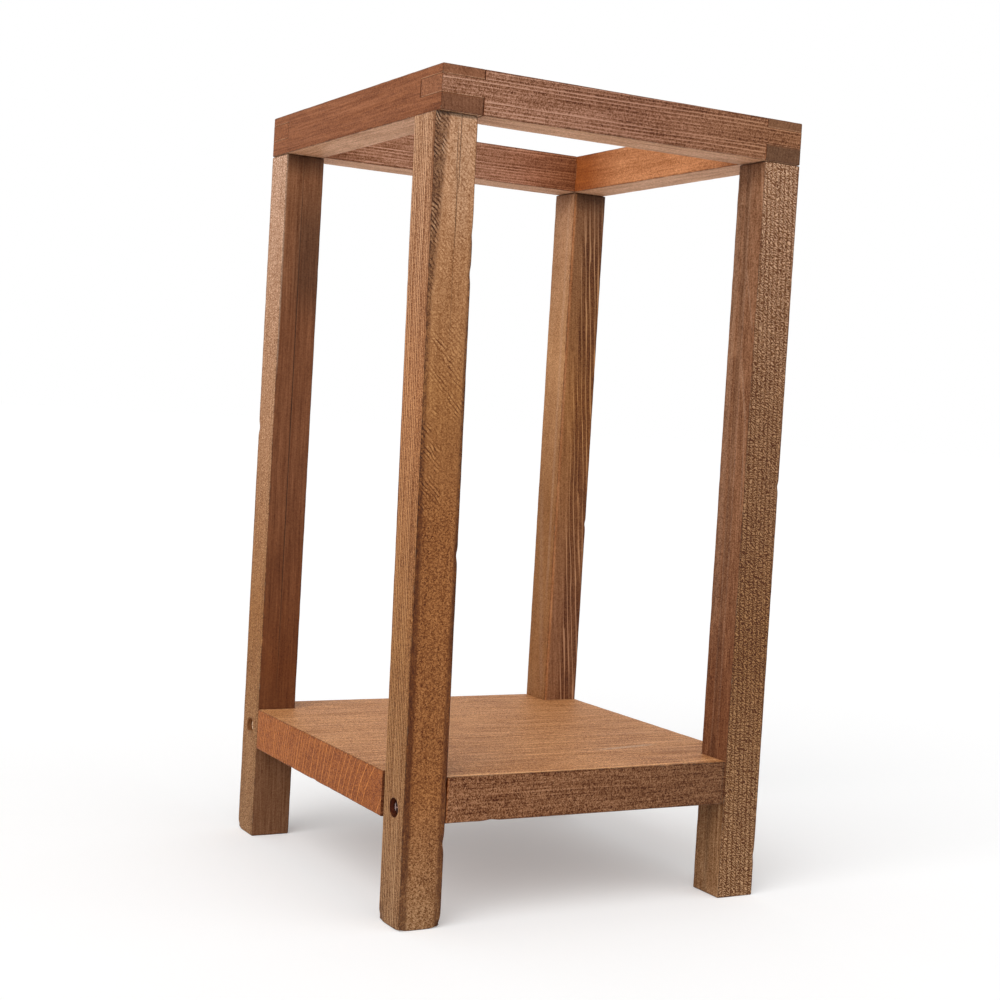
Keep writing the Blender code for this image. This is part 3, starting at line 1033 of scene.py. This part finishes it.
@dataclass
class Legs:
    """The four legs, the near one of which stands a little out of plumb.

    Args:
        joinery: The sizes of the joints.
        painted_inside_shade: Painted shade inside the legs' holes.
        painted_hole_light: The same for the back left leg, where it is negative: painted light, so that its
            hole is pale.
    """

    joinery: Joinery
    painted_inside_shade: float = 0.9
    painted_hole_light: float = -1.2

    def straight_block(self, corner: str) -> tuple[Block, tuple[Span, Span]]:
        """Return a leg's block as if it stood upright, and the offsets of its foot and its top.

        Args:
            corner: The corner of the stand.

        Returns:
            The block, and the two offsets in X and Y.
        """
        points = corners_of("leg_" + corner)
        low, high = points[:, 2].min(), points[:, 2].max()
        ends = [points[np.abs(points[:, 2] - level) < 1e-5, :2] for level in (low, high)]
        other_low, other_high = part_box("leg_back_right")
        half = (other_high - other_low).x / 2
        middle = np.array(CORNERS[corner]) * (np.array((other_high.x, other_high.y)) - half)
        lean = (tuple((end.min(axis=0) + end.max(axis=0)) / 2 - middle) for end in ends)
        return Block((*(middle - half), low), (*(middle + half), high)), tuple(lean)

    def faces(self) -> dict[str, dict[Side, Face]]:
        """Return how each face of each leg was left."""
        front, left = Side.FRONT, Side.LEFT
        # Most faces step lighter from the foot upwards: painted light that falls off towards the floor, over
        # the wood's own tone. The back right leg's front darkens again at its top: painted shade under the
        # rail.
        tan, brown = "umber ginger amber sand", "peat walnut chestnut chestnut almond"
        nutmeg, sepia = "umber nutmeg nutmeg nutmeg ginger bamboo fawn", "umber sepia bistre mushroom"
        cocoa, honey = "peat cocoa walnut walnut chestnut", "umber ginger sand honey"
        seen = {
            "front_left": {
                front: Face(nutmeg, saw=0.1, fuzz=0.42, rings=0.1, streaks=0.3, relief=0.00025),
                left: Face(tan, fuzz=0.6, rings=0.45, lines=1.4, streaks=0.5, relief=0.0001),
            },
            "front_right": {
                front: Face(sepia, fuzz=0.4, rings=0.0, flecks=2.0, streaks=0.3, relief=0.00025),
                left: Face(brown, fuzz=0.5, rings=0.05, lines=0.2, streaks=0.8),
            },
            "back_left": {
                front: Face(cocoa, fuzz=0.2, rings=0.12, streaks=0.6),
                left: Face(honey, fuzz=0.55, rings=0.0, flecks=0.3, streaks=0.15, relief=0.0002),
            },
            "back_right": {
                front: Face("bark chestnut ginger dusk", fuzz=0.3, rings=0.0, streaks=0.5),
                left: Face("umber ginger ginger maize sand", fuzz=0.35, rings=0.05, streaks=0.2),
            },
        }
        end = Face("dusk", fuzz=0.5, rings=0.8, streaks=0.4)
        hidden = {
            Side.BACK: Face(tan, fuzz=0.55, rings=0.2, streaks=0.7, relief=0.0002),
            Side.RIGHT: Face(brown, fuzz=0.1, rings=0.35, lines=0.4, streaks=0.5),
            **dict.fromkeys((Side.TOP, Side.UNDER), end),
        }
        return {corner: {**hidden, **faces} for corner, faces in seen.items()}

    def growths(self) -> dict[str, Growth]:
        """Return how each leg lay in the log."""
        return {
            "front_left": Growth((6.0, 85.0), 2.5, start=2.0, wander=1.1),
            "front_right": Growth((-60.0, 4.0), 3.8, tilt=(0.3, 2.2), start=5.0, drift=0.2),
            "back_left": Growth((-40.0, -50.0), 4.5, start=9.0, wander=2.5),
            "back_right": Growth((60.0, -8.0), 4.4, tilt=(0.2, 4.6), start=14.0, wander=3.0, drift=1.4),
        }

    def patches(self) -> dict[str, list[Patch]]:
        """Return the marks on each leg, with painted shade under the frame in the inner corners."""
        front, left = Side.FRONT, Side.LEFT
        low, wide = (-9.0, -9.0), (400.0, 400.0)
        marks = {
            "front_left": [
                Patch(front, (425, 570), low, (3.0, 11.5), 4.0, 20, shade=0.3, dark=1.3, saw=1.0),
                Patch(front, (440, 570), taper=30, saw=0.3),
                Patch(front, (470, 570), (17.0, 12.0), (27.0, 29.0), 6.0, 40, pale=0.12),
                Patch(front, (-40, 310), taper=60, fuzz=0.75),
                Patch(front, (330, 430), low, (2.6, 3.2), 2.0, shade=0.05, dark=1.2),
                Patch(front, (-40, 340), low, (5.0, 3.2), 2.5, 30, shade=0.05, dark=1.7),
                Patch(front, (-40, 220), (27.0, 29.0), wide, 2.5, 30, shade=0.08, dark=1.6),
                Patch(front, (190, 470), (28.8, 30.0), wide, 1.5, shade=0.2, dark=1.1),
                Patch(front, (345, 408), (7.0, 5.0), (30.0, 26.0), 6.0, 16, saw=0.7),
                Patch(front, (285, 345), low, (16.0, 12.0), 6.0, 16, saw=0.9),
                Patch(left, (400, 570), low, (2.2, 2.8), 1.5, 60, dark=0.8),
                Patch(left, (-40, 12), (27.0, 24.0), wide, 3.0, 8, dark=0.8),
                # Painted shadow: a dark line along the top of the leg's front, under the rail.
                Patch(front, (546.4, 570), taper=1.6, shade=0.75),
            ],
            "front_right": [
                # Painted light: a lighter tone on the foot under the shelf, against the shelf's shadow on
                # this inner face.
                Patch(left, (-40, 72), taper=4, tone=Tone.UMBER),
                Patch(left, (-40, 570), (14.5, 16.5), (19.5, 21.5), 2.0, shade=0.2),
                Patch(left, (200, 520), (23.0, 25.0), (29.0, 31.0), 3.0, 60, pale=0.12),
            ],
            "back_left": [
                # Painted light: a lighter tone on the foot under the shelf, against the shelf's shadow on
                # this inner face.
                Patch(front, (-40, 72), taper=4, tone=Tone.DUSK),
                Patch(left, (-40, 430), low, (7.0, 5.0), 4.0, 80, shade=0.08),
                Patch(left, (-40, 570), (30.2, 30.2), wide, 1.6, shade=0.25),
                Patch(front, (430, 510), (13.0, 13.0), wide, 10.0, 36, shade=0.42),
                Patch(front, (380, 570), low, (0.9, 0.9), 1.2, 20, pale=0.7),
            ],
            "back_right": [
                Patch(front, (-40, 570), low, (2.6, 2.6), 1.2, tone=Tone.AMBER),
                Patch(front, (60, 530), (15.0, 11.0), wide, 4.0, 50, lines=2.6),
                Patch(left, (112, 290), (4.0, 24.0), (9.0, 30.0), 5.0, 30, pale=0.14),
                Patch(left, (200, 545), (5.5, 6.5), (8.5, 9.5), 2.5, 40, pale=0.22),
            ],
        }
        for along, start, end, width, taper, pale in (
            ((425, 475), 2.5, 15.5, 0.8, 16, 0.4),
            ((356, 402), 4.0, 13.0, 0.8, 16, 0.45),
            ((290, 366), 2.6, 4.4, 0.8, 16, 0.35),
            ((300, 520), 13.2, 15.4, 1.0, 40, 0.28),
            ((120, 400), 12.6, 13.4, 1.0, 40, 0.18),
            ((105, 330), 20.0, 18.2, 1.0, 40, 0.14),
        ):
            scratch = Patch(left, along, (start, end), (start + width, end + width), 1.2, taper, pale=pale)
            marks["front_right"].append(scratch)
        # Painted shade on the two inner faces of each leg, at the top under the frame.
        for corner, (side_x, side_y) in CORNERS.items():
            sides = {Side.RIGHT if side_x < 0 else left: 0.3, Side.BACK if side_y < 0 else front: 0.6}
            marks[corner] += [Patch(side, (539, 570), taper=16, shade=shade) for side, shade in sides.items()]
        return marks

    def grooves(self) -> dict[str, list[Groove]]:
        """Return the cracks in the legs."""
        front = Side.FRONT
        return {
            "front_left": [
                Groove(front, (496, 565), 19.8, 0.9, 0.7, 0.75),
                Groove(front, (458, 512), 18.6, 0.9, 0.6, 0.7),
                Groove(front, (505, 541), 17.6, 0.8, 0.5, 0.6),
                Groove(front, (396, 466), 18.1, 0.8, 0.2, 0.35),
            ],
            "back_left": [Groove(front, (110, 560), 15.0, 1.2, 0.3, 0.9)],
        }

    def nicks(self) -> dict[str, list[Nick]]:
        """Return the chips in the legs: for each arris, by its place, their heights, sizes and depths."""
        chips = {
            "front_left": {
                (33, 0): (
                    (58, 4.0, 1.0),
                    (98, 3.5, 0.9),
                    (0, 5.0, 3.0),
                    (444, 4.5, 0.7),
                    (470, 4.0, 0.5),
                    (255, 3.5, 0.9),
                ),
                (0, 0): ((0, 3.5, 1.6), (402, 3.0, 0.7), (211, 3.0, 0.8)),
                (0, 30): ((2, 3.5, 1.2),),
            },
            "front_right": {(32, 0): ((30, 3.5, 0.6), (310, 3.0, 0.7)), (0, 0): ((420, 3.0, 0.7),)},
            "back_left": {(0, 32): ((0, 4.0, 2.0), (330, 4.0, 0.8)), (0, 0): ((160, 3.0, 0.9),)},
            "back_right": {(32, 0): ((260, 3.0, 0.7),), (0, 0): ((480, 3.0, 0.6),)},
        }
        return {
            corner: [
                Nick((*arris, height), size, depth)
                for arris, rows in arrises.items()
                for height, size, depth in rows
            ]
            for corner, arrises in chips.items()
        }

    def build(self) -> None:
        """Build the four legs."""
        faces, growths, patches = self.faces(), self.growths(), self.patches()
        grooves, nicks = self.grooves(), self.nicks()
        for number, corner in enumerate(CORNERS):
            block, lean = self.straight_block(corner)
            bores = self.joinery.dowel_bores(corner, block.high[2]) + [self.joinery.screw_bore(corner)]
            timber = Timber("leg_" + corner, 2, faces[corner], growths[corner], block=block, lean=lean)
            timber.bores, timber.patches, timber.nicks = bores, patches[corner], nicks[corner]
            timber.grooves = grooves.get(corner, [])
            # The back left leg's hole gets painted light, the other holes painted shade.
            timber.painted_inside_shade = self.painted_hole_light if corner == "back_left" else self.painted_inside_shade
            timber.seed = 10 + number
            timber.build("leg_wood")


@dataclass
class TopFrame:
    """The square frame on top, with open bridle joints at its corners.

    The side rails, which run along Y, end in forks, and the cross rails, which run along X, in tenons.
    """

    joinery: Joinery
    step: float = 0.00095

    def build(self) -> None:
        """Build the four rails, on the low side of the stand (-1) and on its high side (1)."""
        for name, side in (("left", -1), ("right", 1)):
            growth = Growth((side * 60.0, 20.0), 2.6, start=21.0 + side, wander=2.0)
            self.build_rail(name, 1, side, growth, 30 + side)
        for name, side in (("front", -1), ("back", 1)):
            growth = Growth((90.0, side * -12.0), 2.4, tilt=(0.4, 0.6), start=27.0 + side, wander=1.0)
            self.build_rail(name, 0, side, growth, 40 + side)

    def build_rail(self, name: str, run: int, side: int, growth: Growth, seed: int) -> None:
        """Build a rail.

        Args:
            name: Its place in the frame.
            run: The axis along it.
            side: The side of the stand on which it lies, as a sign.
            growth: How it lay in the log.
            seed: Start of its random numbers.
        """
        joints = self.joinery
        low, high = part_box("rail_" + name)
        tenon_top = high.z - joints.upper_cheek
        tenon_bottom = tenon_top - joints.tenon
        if run == 1:
            levels = [(tenon_bottom - joints.gap, tenon_top + joints.gap)]
        else:
            levels = [(tenon_top, high.z + joints.overcut), (low.z - joints.overcut, tenon_bottom)]
        met_low, met_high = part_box("rail_front" if run == 1 else "rail_right")
        root = high[run] - (met_high - met_low)[run] - joints.gap
        mouth = high[run] + joints.overcut
        leg_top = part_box("leg_back_right")[1].z
        cuts, bores = [], []
        for corner, signs in CORNERS.items():
            if name not in corner:
                continue
            near = [place - joints.overcut for place in low[:2]]
            far = [place + joints.overcut for place in high[:2]]
            near[run], far[run] = sorted((signs[run] * root, signs[run] * mouth))
            cuts += [Block((*near, bottom), (*far, top)) for bottom, top in levels]
            bores += joints.dowel_bores(corner, leg_top)
        faces, patches = self.looks(run, side)
        timber = Timber("rail_" + name, run, faces, growth, cuts=cuts, bores=bores, patches=patches)
        timber.step, timber.seed = self.step, seed
        timber.build("rail_wood")

    def looks(self, run: int, side: int) -> tuple[dict[Side, Face], list[Patch]]:
        """Return how the faces of a rail were left, and the marks on them.

        Args:
            run: The axis along the rail.
            side: The side of the stand on which it lies, as a sign.

        Returns:
            The faces, and the marks: painted shade in the inner corners, as a redder and darker tone, dark
                lower
            cheeks on the side rails, and a slightly rubbed tenon on the front rail.
        """
        across, along = [(Side.LEFT, Side.RIGHT), (Side.FRONT, Side.BACK)][:: 2 * run - 1]
        outward, inward = across[::-side]
        if run == 1:
            outer = Face("russet", fuzz=0.35, rings=0.15, streaks=0.65)
            inner = Face("copper", fuzz=0.35, rings=0.1, streaks=0.4)
            end = Face("briar" if side < 0 else "dusk", fuzz=0.3, rings=0.35, streaks=0.2)
            corners, tone, shade = ((-40, 40), (222, 340)), Tone.PUMPKIN, 0.0
            cheek = 0.25 if side < 0 else 0.35
            others = [Patch(tip, (-9, 309), far=(12.5, 12.5), shade=cheek) for tip in along]
        else:
            tones = "rose sienna chestnut"
            outer = Face(tones, fuzz=0.6, rings=0.3, lines=0.9, streaks=0.8, relief=0.00015)
            inner = Face("clay rose brick", fuzz=0.45, rings=0.15, lines=0.7, streaks=0.8)
            end = Face("russet", fuzz=0.45, rings=0.4, streaks=0.3)
            corners, tone, shade = ((-40, 38), (238, 340)), Tone.RUSSET, 0.2
            others = [Patch(Side.LEFT, (-9, 9), pale=0.06)] if side < 0 else []
        # Painted shade in the inner corners next to the legs: a redder tone, darker too on the cross rails.
        marks = [Patch(inward, place, soft=6.0, taper=50, tone=tone, shade=shade) for place in corners]
        faces = {
            outward: outer,
            inward: inner,
            Side.TOP: Face("russet", fuzz=0.2),
            # The undersides have a pale tone: painted light from the bright floor below, over the wood's own
            # colour.
            Side.UNDER: Face("ash", fuzz=0.35, rings=0.2, streaks=0.6),
        }
        return {**faces, **dict.fromkeys(along, end)}, marks + others


@dataclass
class Shelf:
    """The thick shelf board near the floor, notched round the legs.

    Args:
        joinery: The sizes of the joints.
        corner_zone: Distance from the middle, along X and Y, beyond which a corner belongs to a notch.
    """

    joinery: Joinery
    corner_zone: float = 0.09

    def notches(self) -> list[Block]:
        """Return the boxes that the notches take out, as wide as the solid's own notches."""
        low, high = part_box("shelf")
        out = self.joinery.overcut
        points = corners_of("shelf")
        points = points[points[:, 2] > high.z - 1e-5, :2]
        blocks = []
        for corner in CORNERS.values():
            walls = np.abs(points[(points * corner > self.corner_zone).all(axis=1)]).min(axis=0)
            ends = np.sort([walls * corner, (np.array((high.x, high.y)) + out) * corner], axis=0)
            blocks.append(Block((*ends[0], low.z - out), (*ends[1], high.z + out)))
        return blocks

    def build(self) -> None:
        """Build the board."""
        edge = Face("chestnut peat", fuzz=0.85, rings=0.15, lines=0.3, streaks=1.0, relief=0.00015)
        end = Face("ochre", fuzz=0.5, rings=0.1, lines=1.1, streaks=0.2, relief=0.0001)
        faces = {
            Side.TOP: Face("pine", fuzz=0.6, rings=0.0, lines=0.5, streaks=0.5),
            Side.UNDER: Face("almond", fuzz=0.5, rings=0.3, streaks=0.8, relief=0.00015),
            **dict.fromkeys((Side.FRONT, Side.BACK), edge),
            **dict.fromkeys((Side.LEFT, Side.RIGHT), end),
        }
        growth = Growth((42.0, -164.0), 57.0, crowding=0.03, start=33.0, wander=1.5, drift=0.15)
        board = Timber("shelf", 0, faces, growth, gloss=(0.44, 0.15), weave=(0.9, 1.9), cuts=self.notches())
        for corner in CORNERS:
            bore = self.joinery.screw_bore(corner)
            board.bores.append(Bore(0, bore.centre, bore.steps[1:], reach=0.0075))
        board.patches = [
            Patch(Side.TOP, (198, 248), (60.0, 68.0), (64.0, 72.0), 2.5, 14, pale=0.8),
            Patch(Side.TOP, (-40, 340), far=(2.2, 2.2), soft=1.2, shade=0.35),
            # Painted shade: a dark line at the right end of the front edge, in the gap against the leg.
            Patch(Side.FRONT, (266, 340), soft=1.0, taper=1.2, shade=0.9),
        ]
        board.nicks = [Nick((70, 0, 0), 4.0, 0.8), Nick((215, 0, 32), 3.5, 0.6), Nick((0, 150, 0), 4.0, 0.3)]
        board.step, board.seed = 0.0016, 50
        board.build("shelf_wood")


@dataclass
class Fixings:
    """The screws and the dowels, which keep the solids' own shapes.

    Args:
        steel: The dark film on a screw, made as dark and red as the shaded hole round it: partly painted
            shade.
        bare_steel_and_glint: The steel where the film is rubbed off, also used for the painted highlight on
            the head.
        stain_and_light_steel: The wood's stain on the back left screw, made lighter than the wood: painted
            light against the shade in its hole.
        beech: The dowels.
    """

    steel: Point = (0.06, 0.022, 0.016)
    bare_steel_and_glint: Point = (0.98, 0.78, 0.72)
    stain_and_light_steel: Point = (0.80, 0.56, 0.36)
    beech: Point = (0.56, 0.40, 0.25)

    def screw_steel(self, node: str) -> bpy.types.Material:
        """Return the look of a screw: dull steel under a dark film, with a painted highlight along one side
        of its head and a few rubbed spots.

        The back left screw has the stain of the wood on its head instead, lighter than the wood as painted
        light against the shade in its hole.

        Args:
            node: The screw.

        Returns:
            The material.
        """
        stained = node == "shelf_screw_back_left"
        film = self.stain_and_light_steel if stained else self.steel
        rubbed = tuple(0.7 * part for part in film) if stained else self.bare_steel_and_glint
        recipe = Recipe(node + "_steel")
        low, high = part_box(node)
        middle = (low + high) / 2 * MILLIMETRES
        place = recipe.place()
        wear = recipe.noise(place, (0.9, 0.9, 0.9), 4.0, 3.0)
        grain = recipe.noise(place, (0.15, 0.15, 0.15), 8.0)
        # Painted highlight: an upright strip of the rubbed colour on the far side of the head, where its rim
        # would catch a glint.
        offset = recipe.vector("SUBTRACT", place, (middle.x, middle.y + 3.4, middle.z - 0.6))
        stretched = recipe.vector("MULTIPLY", offset, (0.0, 1 / 1.9, 1 / 3.4))
        painted_glint_strip = 1.0 - recipe.vector("LENGTH", stretched)
        share = (painted_glint_strip * 4.0 + wear.spread(0.5, 1.2)).clipped()
        colour = recipe.mixed("MIX", (*film, 1.0), rubbed, share)
        metal = 0.0 if stained else 0.6
        inputs = {"Base Color": colour, "Roughness": grain * 0.3 + 0.25, "Metallic": metal}
        return recipe.finish(grain * 0.01, inputs)

    def dowel_beech(self) -> bpy.types.Material:
        """Return pale beech with short dark flecks along the dowel."""
        recipe = Recipe("fluted_dowel_beech")
        place = recipe.place()
        fleck = recipe.noise(place, (0.35, 0.35, 2.4), 6.0)
        streak = recipe.noise(place, (1.2, 1.2, 20.0), 2.0)
        level = fleck.spread(0.5, 1.4) + streak.spread(0.5, 0.8)
        dark = tuple(0.55 * part for part in self.beech)
        colour = recipe.mixed("MIX", (*self.beech, 1.0), dark, (level + 0.3).clipped())
        return recipe.finish(level, {"Base Color": colour, "Roughness": fleck * 0.2 + 0.5})

    def dress(self) -> None:
        """Put the materials on their pieces."""
        beech = self.dowel_beech()
        for name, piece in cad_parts.items():
            if name.startswith(("shelf_screw_", "dowel_")):
                finish = beech if name.startswith("dowel_") else self.screw_steel(name)
                piece.data.materials.clear()
                piece.data.materials.append(finish)
        log.info("screws and dowels dressed")


@dataclass
class Studio:
    """A pale floor under a white background, with soft light that comes mostly from the left and in front.

    Args:
        sky: Brightness of the light from all round.
        lamps: For each lamp the direction that it stands in, its brightness on a surface that faces it, and
            how wide it is seen, in degrees.
        floor: Lightness of the floor.
        glow: What the floor adds for the camera alone, so that it is white outside the shadow.
        reach: Half the floor's width.
    """

    sky: float = 0.55
    lamps: tuple[tuple[Point, float, float], ...] = (
        ((-0.66, -0.42, 0.62), 0.55, 50.0),
        ((0.35, -0.80, 0.50), 0.16, 70.0),
    )
    floor: float = 0.8
    glow: float = 0.25
    reach: float = 40.0

    def seen_directly(self, graph: Graph) -> Signal:
        """Return 1 for what the camera, a mirror or clear glass sees, and 0 for what only lights."""
        path = graph.node("LightPath")
        seen = Signal(path.outputs["Is Camera Ray"])
        for name in ("Is Glossy Ray", "Is Transmission Ray"):
            seen = seen.worked("MAXIMUM", path.outputs[name])
        return seen

    def build_world(self) -> None:
        """Set the background white, and the light that comes from it to its own level."""
        world = bpy.data.worlds.new("studio")
        bpy.context.scene.world = world
        world.use_nodes = True
        graph = Graph(world.node_tree)
        graph.tree.nodes.clear()
        white = (1.0, 1.0, 1.0, 1.0)
        light, shown = (
            graph.node("Background", {"Color": white, "Strength": strength}).outputs[0]
            for strength in (self.sky, 1.0)
        )
        mix = graph.node("MixShader", {0: self.seen_directly(graph), 1: light, 2: shown})
        graph.node("OutputWorld", {"Surface": mix.outputs[0]})

    def build_floor(self) -> None:
        """Lay the floor, a square far wider than the view."""
        reach = self.reach
        points = np.array([(-reach, -reach, 0), (reach, -reach, 0), (reach, reach, 0), (-reach, reach, 0)])
        floor = mesh_object("floor", points, np.array([[0, 1, 2, 3]]))
        recipe = Recipe("pale_floor")
        colour = (self.floor, self.floor, self.floor, 1.0)
        matt = {"Base Color": colour, "Roughness": 1.0, "Specular IOR Level": 0.0}
        for name, value in matt.items():
            recipe.shader.inputs[name].default_value = value
        glow = recipe.node("Emission", {"Strength": self.seen_directly(recipe) * self.glow})
        add = recipe.node("AddShader", {0: recipe.shader.outputs[0], 1: glow.outputs[0]})
        recipe.feed(recipe.tree.nodes["Material Output"].inputs["Surface"], add.outputs[0])
        floor.data.materials.append(recipe.material)

    def build_lamps(self) -> None:
        """Hang the lamps, which are suns so wide that their shadows are soft."""
        for number, (direction, brightness, width) in enumerate(self.lamps):
            lamp = bpy.data.lights.new(f"soft_lamp_{number}", "SUN")
            lamp.energy = math.pi * brightness
            lamp.angle = math.radians(width)
            holder = bpy.data.objects.new(lamp.name, lamp)
            holder.rotation_mode = "QUATERNION"
            holder.rotation_quaternion = Vector(direction).to_track_quat("Z", "Y")
            bpy.context.scene.collection.objects.link(holder)

    def build(self) -> None:
        """Set out the whole studio."""
        self.build_world()
        self.build_floor()
        self.build_lamps()
        bpy.context.scene.view_settings.view_transform = "Standard"
        log.info("studio ready")


@dataclass
class Viewpoint:
    """The camera: where it stands, what it looks at, how far it is rolled, and its lens on a 36 mm sensor."""

    stand_at: Point = (-0.65576, -1.16598, 0.34850)
    look_at: Point = (-0.00342, 0.00165, 0.28510)
    roll: float = -3.3674
    lens: float = 61.522
    sensor: float = 36.0

    def build(self) -> None:
        """Make the camera and hand it to the scene."""
        data = bpy.data.cameras.new("camera")
        data.sensor_fit = "HORIZONTAL"
        data.sensor_width = self.sensor
        data.lens = self.lens
        data.clip_start = 0.05
        data.clip_end = 200.0
        camera = bpy.data.objects.new("camera", data)
        ahead = Vector(self.look_at) - Vector(self.stand_at)
        level = ahead.to_track_quat("-Z", "Y").to_matrix().to_4x4()
        rolled = level @ Matrix.Rotation(math.radians(-self.roll), 4, "Z")
        camera.matrix_world = Matrix.Translation(Vector(self.stand_at)) @ rolled
        bpy.context.scene.collection.objects.link(camera)
        bpy.context.scene.camera = camera


def main() -> None:
    """Build the scene piece by piece."""
    logging.basicConfig(level=logging.INFO, format="%(message)s")
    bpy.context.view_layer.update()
    joinery = Joinery()
    for assembly in (Legs(joinery), TopFrame(joinery), Shelf(joinery)):
        assembly.build()
    Fixings().dress()
    Studio().build()
    Viewpoint().build()


if __name__ == "__main__":
    main()
